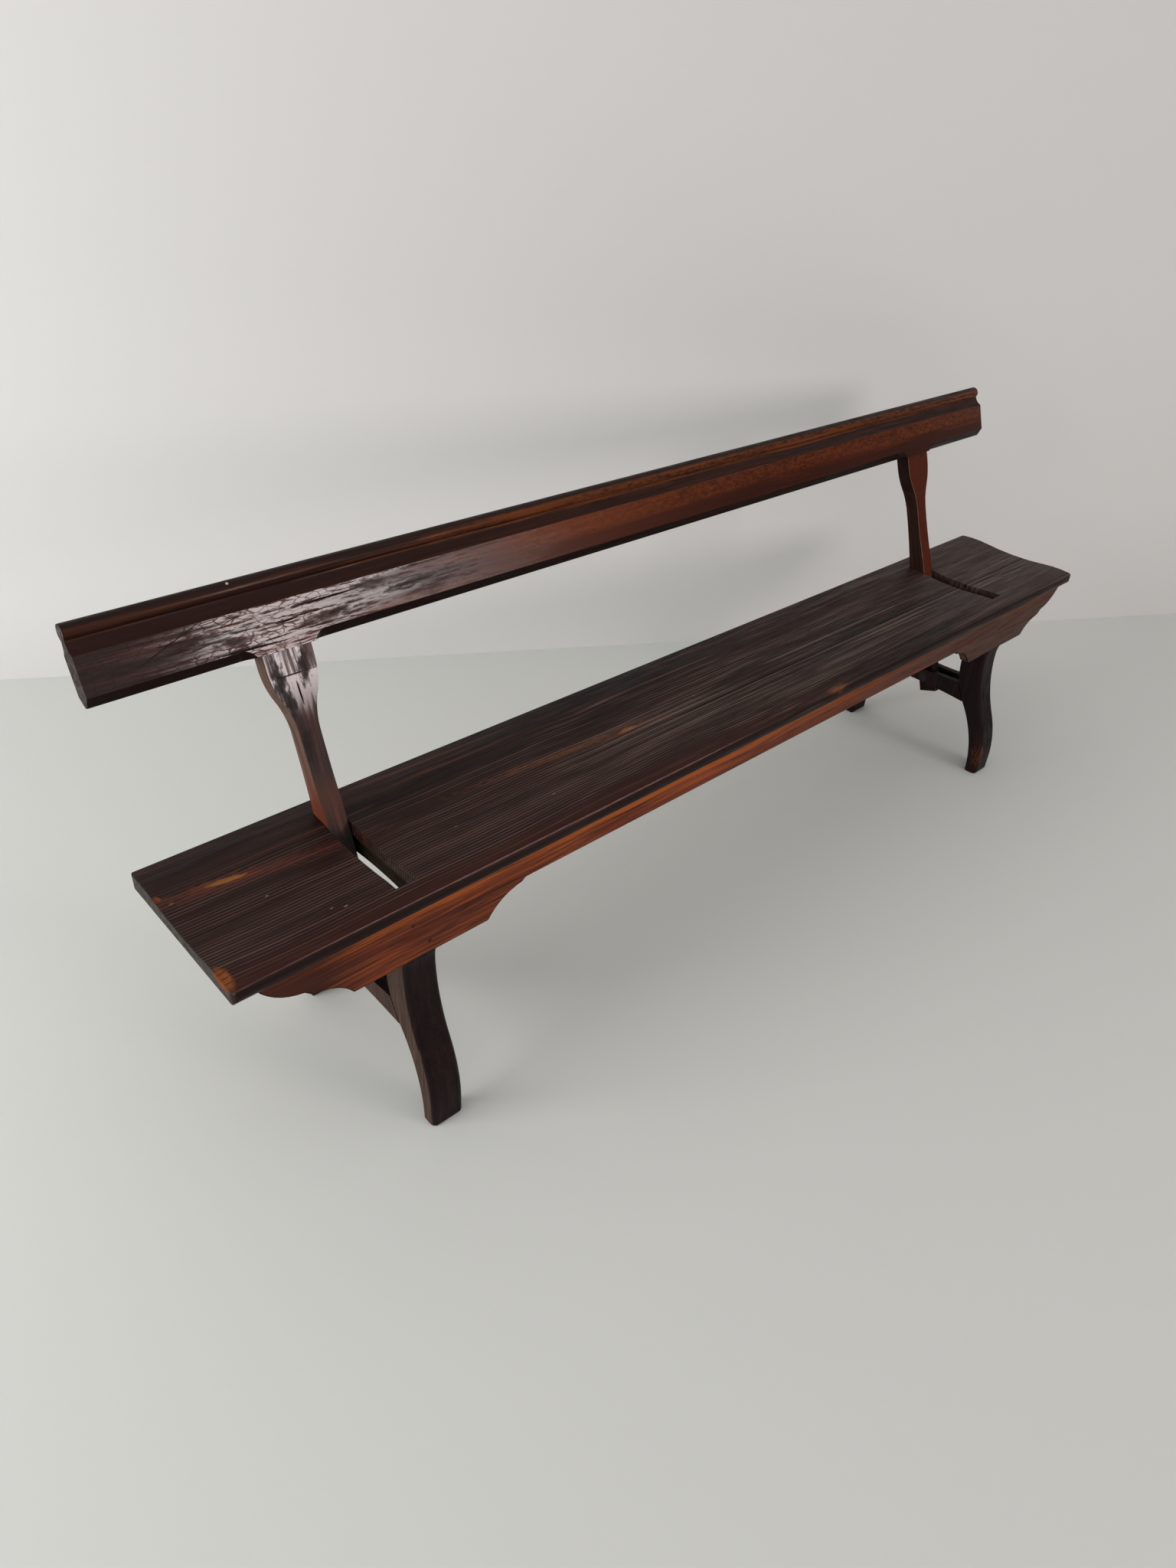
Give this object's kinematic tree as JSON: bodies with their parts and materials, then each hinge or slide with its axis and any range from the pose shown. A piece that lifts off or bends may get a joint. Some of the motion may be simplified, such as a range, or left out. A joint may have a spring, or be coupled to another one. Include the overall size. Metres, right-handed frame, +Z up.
{
  "type": "reversible railway bench",
  "caption": "Long railway waiting bench in dark varnished wood: dished plank seat on sawn S-curved leg frames, with a moulded back rail on swing arms that turns over to face either way.",
  "frame": {"origin": "on the floor, under the middle of the bench's length and depth with the back at rest", "axes": "+X along the bench, -Y to the front, +Z up"},
  "size_m": [2.286, 0.446, 0.8226],
  "materials": {
    "seat_wood": "dark stained and varnished, worn",
    "apron_wood": "red-brown stain and varnish",
    "leg_wood": "dark stained and varnished",
    "back_wood": "red-brown stain and varnish, worn",
    "peg_wood": "stained",
    "hidden_wood": "bare, sawn, aged",
    "iron": "dark, dull"
  },
  "bodies": {
    "stand": {"seat_front_board": "seat_wood", "seat_rear_board": "seat_wood", "seat_tongues": "hidden_wood", "left_seat_batten": "hidden_wood", "centre_seat_batten": "hidden_wood", "right_seat_batten": "hidden_wood", "batten_screws": "iron", "glue_blocks": "hidden_wood", "front_apron": "apron_wood", "rear_apron": "apron_wood", "apron_nails": "iron", "left_front_leg": "leg_wood", "left_rear_leg": "leg_wood", "right_front_leg": "leg_wood", "right_rear_leg": "leg_wood", "left_cross_rail": "leg_wood", "right_cross_rail": "leg_wood", "tenon_pegs": "peg_wood", "left_pivot_bolt": "iron", "right_pivot_bolt": "iron", "left_pivot_nut": "iron", "right_pivot_nut": "iron", "pivot_washers": "iron"},
    "back": {"left_swing_arm": "back_wood", "right_swing_arm": "back_wood", "back_rail": "back_wood", "arm_pegs": "peg_wood"}
  },
  "joints": [
    {"name": "back_reversing", "type": "hinge", "parent": "stand", "child": "back", "pos_m": [0, -0.0168, 0.194], "axis": [1, 0, 0], "range_deg": [0, 40.4]}
  ]
}
